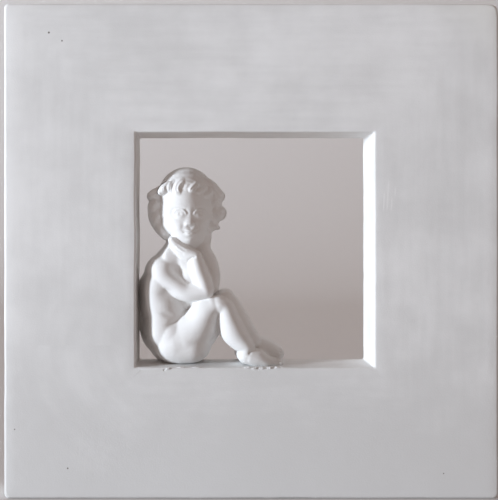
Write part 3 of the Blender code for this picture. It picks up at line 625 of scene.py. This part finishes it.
def crumbs(name, places):
    """Small rough ellipsoids at (right, up, height) with three half sizes each: the points of one
    ball, whose radius wanders by a third."""
    bpy.ops.mesh.primitive_ico_sphere_add(subdivisions=3)
    pattern = bpy.context.object
    ball = read_points(pattern.data)
    faces = np.array([face.vertices[:] for face in pattern.data.polygons])
    bpy.data.objects.remove(pattern, do_unlink=True)
    parts = []
    for k, (right, up, height, *halves) in enumerate(places):
        uneven = 1.0 + 0.33 * wander(2 * ball[:, 0] + 7 * k, 2 * ball[:, 1] + ball[:, 2], 0.6, 9)
        spread = ball * uneven[:, None] * halves
        parts.append((to_model(right + spread[:, 0], up + spread[:, 1], height + spread[:, 2]), faces))
    return joined(name, parts)


def back_slab():
    """A slab behind the plaque, whose front is the plane of the back."""
    bpy.ops.mesh.primitive_cube_add(size=1.0)
    slab = bpy.context.object
    points = read_points(slab.data) * np.array([1.2 * SIDE, 4 * SPARE_DEPTH, 1.2 * SIDE])
    points += [(LOW[0] + HIGH[0]) / 2, 2 * SPARE_DEPTH, (LOW[2] + HIGH[2]) / 2]
    write_points(slab.data, points * MM)
    return slab


def shade(mesh):
    """Smooth shading that breaks at creases, and on the figure only at the steepest."""
    def sharp_edges(angle):
        mesh.set_sharp_from_angle(angle=math.radians(angle))
        values = np.zeros(len(mesh.edges), bool)
        mesh.attributes["sharp_edge"].data.foreach_get("value", values)
        return values

    mesh.shade_smooth()
    ends = np.empty(2 * len(mesh.edges), int)
    mesh.edges.foreach_get("vertices", ends)
    across, depth, up = read_points(mesh).T / MM
    right, high = across - CORNER_RIGHT, up - CORNER_UP
    on_figure = ((right > FIGURE_MARGIN) & (right < WINDOW_WIDTH - FIGURE_MARGIN)
                 & (high > FIGURE_MARGIN) & (high < WINDOW_HEIGHT - FIGURE_MARGIN) & (depth < -0.5))
    inside = on_figure[ends.reshape(-1, 2)].all(axis=1)
    sharp = np.where(inside, sharp_edges(FIGURE_CREASE), sharp_edges(CREASE))
    mesh.attributes["sharp_edge"].data.foreach_set("value", sharp)


def make_casting():
    """Frame and cherub as one casting with a flat back."""
    casting = make_frame()
    casting.name = "plaster_casting"
    helpers = (("UNION", make_figure()), ("DIFFERENCE", back_slab()),
               ("UNION", crumbs("flash", FLASH)), ("DIFFERENCE", crumbs("chips", CHIPS)))
    for operation, helper in helpers:
        step = casting.modifiers.new(operation.title(), "BOOLEAN")
        step.operation = operation
        step.solver = "MANIFOLD"
        step.object = helper
    applied(casting)
    for operation, helper in helpers:
        bpy.data.objects.remove(helper, do_unlink=True)
    shade(casting.data)
    return casting


class Link:
    """A shader socket that can be used in sums: each operator adds its Math node."""

    def __init__(self, tree, socket):
        self.tree, self.socket = tree, socket

    def node(self, kind, settings=None, **values):
        """Adds a node, its settings first; values go to the sockets of those names, with
        underscores for spaces and a closing number where a name repeats."""
        node = self.tree.nodes.new(kind)
        for key, value in (settings or {}).items():
            setattr(node, key, value)
        for key, value in values.items():
            name, _, place = key.partition("__")
            found = [s for s in node.inputs if s.name == name.replace("_", " ") and s.enabled]
            target = found[int(place or 0)]
            if isinstance(value, Link):
                self.tree.links.new(value.socket, target)
            else:
                target.default_value = value
        return node

    def out(self, node, name=None):
        """A node's output of that name, or else its first."""
        shown = [s for s in node.outputs if s.enabled]
        return Link(self.tree, next(s for s in shown if s.name == name) if name else shown[0])

    def math(self, operation, *others):
        """A Math node whose first value is this socket."""
        values = {f"Value__{k}": value for k, value in enumerate((self, *others))}
        return self.out(self.node("ShaderNodeMath", {"operation": operation}, **values))

    def __add__(self, other):
        return self.math("ADD", other)

    __radd__ = __add__

    def __mul__(self, other):
        return self.math("MULTIPLY", other)

    __rmul__ = __mul__

    def __sub__(self, other):
        return self.math("SUBTRACT", other)

    def __rsub__(self, other):
        return self * -1.0 + other

    def ease(self, low, high):
        """0 below low and 1 above high, eased between."""
        return self.out(self.node("ShaderNodeMapRange", {"interpolation_type": "SMOOTHSTEP"},
                                  Value=self, From_Min=low, From_Max=high))

    def noise(self, scale, detail=2.0, roughness=0.5, stretch=(1.0, 1.0, 1.0)):
        """Noise over a position in millimetres, centred on 0; stretch makes it streaky."""
        place = self.out(self.node("ShaderNodeVectorMath", {"operation": "MULTIPLY"},
                                   Vector__0=self, Vector__1=stretch))
        made = self.node("ShaderNodeTexNoise", None, Vector=place, Scale=scale, Detail=detail,
                         Roughness=roughness)
        return self.out(made, "Fac") - 0.5


# Finish: how far each kind of mark moves the tone, which runs from dull to pale plaster; the darkening of
# the lower bar is painted shade, not a mark
BLOTCH_TONE = 0.60
PATCH_TONE = 0.38
STREAK_TONE = 0.24
EDGE_TONE = 0.14
INSIDE_TONE = 0.20
LOWER_SHADE_TONE = 0.42
DULL = (0.69, 0.688, 0.678, 1.0)
PALE = (0.86, 0.86, 0.852, 1.0)
STAINED = (0.76, 0.75, 0.62, 1.0)
SCRATCHED = (0.88, 0.88, 0.87, 1.0)
# Painted shade: this near-black colour stands in for the shade inside tiny pinholes
PINHOLE_SHADE = (0.16, 0.14, 0.13, 1.0)
STREAK_SCALE = 0.30
STREAK_LONG = 0.12
STREAK_CROSS = 1.0
ARC_SCALE = 0.16
ARC_STRENGTH = 1.6
WIPE_CENTRE = (-32.0, -112.0)
MIDDLE_RIGHT = CORNER_RIGHT + WINDOW_WIDTH / 2
MIDDLE_UP = CORNER_UP + WINDOW_HEIGHT / 2
# Scratches as (right, up, half length) and specks as (right, up, radius), in the model's millimetres
SCRATCHES = ((53.4, -54.0, 5.0), (55.0, -51.5, 7.0), (56.5, -55.0, 4.0), (58.0, -50.0, 3.0))
SPECKS = ((-81.7, 14.1, 0.55), (-76.4, 10.8, 0.45), (-74.1, -161.6, 0.45), (77.5, -163.7, 0.35),
          (-95.5, -145.9, 0.35))


def wiped_streaks(place, x, z):
    """Noise drawn out along each bar, and round WIPE_CENTRE in the lower left corner."""
    level = ((z - MIDDLE_UP).math("ABSOLUTE") - (x - MIDDLE_RIGHT).math("ABSOLUTE")).ease(-8.0, 8.0)
    lying = place.noise(STREAK_SCALE, 3.0, 0.5, (STREAK_LONG, 1.0, STREAK_CROSS))
    standing = place.noise(STREAK_SCALE, 3.0, 0.5, (STREAK_CROSS, 1.0, STREAK_LONG))
    streaks = lying * level + standing * (1.0 - level)
    from_x, from_z = x - WIPE_CENTRE[0], z - WIPE_CENTRE[1]
    round_it = (from_x * from_x + from_z * from_z).math("SQRT")
    swing = from_z.math("ARCTAN2", from_x)
    bent = place.out(place.node("ShaderNodeCombineXYZ", None, X=round_it, Z=swing * 40.0))
    arcs = bent.noise(ARC_SCALE, 3.0, 0.5, (STREAK_CROSS, 1.0, STREAK_LONG))
    corner = (from_x * -1.0).ease(5.0, 25.0) * (from_z * -1.0).ease(-30.0, 10.0)
    return streaks * (1.0 - corner) + arcs * corner * ARC_STRENGTH


def pinhole_shade(x, y, z):
    """1 within each small round speck on the front, fading over its outer part: where the shade inside a
    pinhole is painted.
    """
    speck = 0.0
    for right, up, radius in SPECKS:
        off = ((x - right).math("POWER", 2.0) + (z - up).math("POWER", 2.0)).math("SQRT")
        speck = (1.0 - off.ease(0.4 * radius, radius)) + speck
    return speck * (y * -1.0).ease(DEPTH - 1.5, DEPTH - 0.5)


def light_scratches(x, z):
    """1 along each thin, nearly upright scratch, fading at its ends."""
    scratch = 0.0
    for right, up, half_length in SCRATCHES:
        aside = (x - right - (z - up) * 0.06).math("ABSOLUTE")
        past = (z - up).math("ABSOLUTE") - half_length
        scratch = (1.0 - aside.ease(0.1, 0.5)) * (1.0 - past.ease(-3.0, 0.0)) + scratch
    return scratch


def plaster_material():
    """White plaster, wiped along each bar while damp: streaks and soft blotches a few shades apart,
    a paler left edge, painted shade darkening the lower bar, cleaner plaster inside the window, a faint
    yellow stain at the top right, light scratches right of the window, painted shade in small pinhole
    dents, a fine grain and pits."""
    material = bpy.data.materials.new("white_plaster")
    material.use_nodes = True
    tree = material.node_tree
    shader = tree.nodes["Principled BSDF"]
    start = Link(tree, None)
    metres = start.out(start.node("ShaderNodeTexCoord"), "Object")
    place = metres.out(metres.node("ShaderNodeVectorMath", {"operation": "SCALE"}, Vector=metres,
                                   Scale=1.0 / MM))
    parts = place.node("ShaderNodeSeparateXYZ", None, Vector=place)
    x, y, z = (place.out(parts, axis) for axis in "XYZ")
    streaks = wiped_streaks(place, x, z)
    blotches = place.noise(0.022, 3.0, 0.55)
    patches = place.noise(0.065, 3.0, 0.6)
    edge = 1.0 - x.ease(LOW[0] + 3.0, LOW[0] + 14.0)
    inside = ((x - MIDDLE_RIGHT).math("ABSOLUTE").ease(WINDOW_WIDTH / 2 + 1.0, WINDOW_WIDTH / 2 - 1.0)
              * (z - MIDDLE_UP).math("ABSOLUTE").ease(WINDOW_HEIGHT / 2 + 1.0, WINDOW_HEIGHT / 2 - 1.0))
    tone = blotches * BLOTCH_TONE + patches * PATCH_TONE + streaks * STREAK_TONE
    tone = tone + edge * EDGE_TONE + inside * INSIDE_TONE
    # Painted shade: the tone darkens towards the bottom of the lower bar, where the light falls off
    tone = tone - (z * -1.0).ease(95.0, 175.0) * LOWER_SHADE_TONE
    stain = (x * 0.8 + z).ease(72.0, 110.0) * (0.5 + blotches)

    def mix(share, first, second):
        node = start.node("ShaderNodeMix", {"data_type": "RGBA"}, Factor=share, A=first, B=second)
        return start.out(node)

    colour = mix((tone + 0.5).ease(0.2, 0.8), DULL, PALE)
    colour = mix(stain * 0.35, colour, STAINED)
    colour = mix(light_scratches(x, z) * 0.55, colour, SCRATCHED)
    # Painted shade of the pinholes, which are not carved
    colour = mix(pinhole_shade(x, y, z), colour, PINHOLE_SHADE)
    grain = place.noise(1.6, 3.0, 0.6)
    pits = place.out(place.node("ShaderNodeTexVoronoi", None, Vector=place, Scale=0.12), "Distance")
    pit = 1.0 - pits.ease(0.0, 0.035)
    height = grain * 0.05 + streaks * 0.02 + patches * 0.12 - pit * 0.05
    bump = start.node("ShaderNodeBump", None, Strength=1.0, Distance=MM, Height=height)
    rough = tone * 0.25 + 0.72
    tree.links.new(colour.socket, shader.inputs["Base Color"])
    tree.links.new(rough.socket, shader.inputs["Roughness"])
    tree.links.new(bump.outputs["Normal"], shader.inputs["Normal"])
    shader.inputs["Specular IOR Level"].default_value = 0.35
    return material


def plain_material(name, colour, roughness):
    """One colour and one roughness all over."""
    material = bpy.data.materials.new(name)
    material.use_nodes = True
    shader = material.node_tree.nodes["Principled BSDF"]
    shader.inputs["Base Color"].default_value = (*colour, 1.0)
    shader.inputs["Roughness"].default_value = roughness
    return material


STAGE_HALF = 3.0
STAGE_FRONT = -2.2
SWEEP_START = 0.9
SWEEP_RADIUS = 0.6
STAGE_TOP = 2.4
PAPER = (0.80, 0.785, 0.775)
PAPER_ROUGHNESS = 0.9


def make_stage():
    """A pale floor under the plaque that sweeps up far behind it: a quarter circle joined to a
    level floor and an upright back, carried sideways."""
    floor = LOW[2] * MM
    turn = np.linspace(0.0, np.pi / 2, 24)
    sweep_back = SWEEP_START + SWEEP_RADIUS
    y = np.concatenate([[STAGE_FRONT], SWEEP_START + SWEEP_RADIUS * np.sin(turn), [sweep_back]])
    z = floor + np.concatenate([[0.0], SWEEP_RADIUS * (1 - np.cos(turn)), [STAGE_TOP]])
    x = np.array([-STAGE_HALF, STAGE_HALF])
    points = np.stack(np.broadcast_arrays(x[:, None], y, z), axis=-1).reshape(-1, 3)
    sweep = new_object("studio_sweep", points, grid_faces(2, len(y)))
    sweep.data.shade_smooth()
    sweep.data.materials.append(plain_material("studio_paper", PAPER, PAPER_ROUGHNESS))
    return sweep


KEY_ELEVATION = math.radians(24.5)
KEY_DISTANCE = 2.2
KEY_RISE = 0.06
KEY_SIZE = 0.24
KEY_POWER = 59.5
KEY_COLOUR = (0.785, 0.868, 0.962)
BACKDROP_LIGHT = (0.3, 1.0, 1.4)
BACKDROP_SIZE = 1.2
BACKDROP_POWER = 1.5
BACKDROP_COLOUR = (1.0, 0.96, 0.93)
FILL_COLOUR = (1.0, 0.78, 0.685, 1.0)
FILL_STRENGTH = 0.28


def add_light(name, place, aim, size, power, colour):
    """A square soft light at a place, turned to shine at another."""
    lamp = bpy.data.lights.new(name, "AREA")
    lamp.size = size
    lamp.energy = power
    lamp.color = colour
    thing = bpy.data.objects.new(name, lamp)
    bpy.context.scene.collection.objects.link(thing)
    thing.location = place
    heading = Vector(aim) - thing.location
    thing.rotation_euler = heading.to_track_quat("-Z", "Y").to_euler()
    return thing


def light_scene():
    """A key light from the left, low over the plaque's face, a weak light down the backdrop, and a
    weak warm fill all round."""
    middle = (LOW + HIGH) / 2 * MM
    key = middle + KEY_DISTANCE * np.array([-math.cos(KEY_ELEVATION), -math.sin(KEY_ELEVATION), KEY_RISE])
    add_light("key", key, middle, KEY_SIZE, KEY_POWER, KEY_COLOUR)
    under = (0.0, BACKDROP_LIGHT[1], LOW[2] * MM)
    add_light("backdrop light", BACKDROP_LIGHT, under, BACKDROP_SIZE, BACKDROP_POWER, BACKDROP_COLOUR)
    world = bpy.data.worlds.new("studio")
    world.use_nodes = True
    glow = world.node_tree.nodes["Background"]
    glow.inputs["Color"].default_value = FILL_COLOUR
    glow.inputs["Strength"].default_value = FILL_STRENGTH
    bpy.context.scene.world = world
    bpy.context.scene.view_settings.view_transform = "Standard"


def place_camera():
    """A level camera that looks straight at the plaque's front."""
    camera = bpy.data.cameras.new("camera")
    camera.lens = LENS
    camera.sensor_width = SENSOR
    camera.sensor_fit = "AUTO"
    camera.shift_x, camera.shift_y = SHIFT
    camera.clip_start, camera.clip_end = CLIP
    thing = bpy.data.objects.new("camera", camera)
    bpy.context.scene.collection.objects.link(thing)
    thing.location = [value * MM for value in CAMERA]
    thing.rotation_euler = (math.pi / 2, 0.0, 0.0)
    bpy.context.scene.camera = thing


def main():
    """The view, its light and stage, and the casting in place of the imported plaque."""
    place_camera()
    light_scene()
    make_stage()
    casting = make_casting()
    casting.data.materials.clear()
    casting.data.materials.append(plaster_material())
    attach(casting, "root")
    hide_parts("plaque")


main()
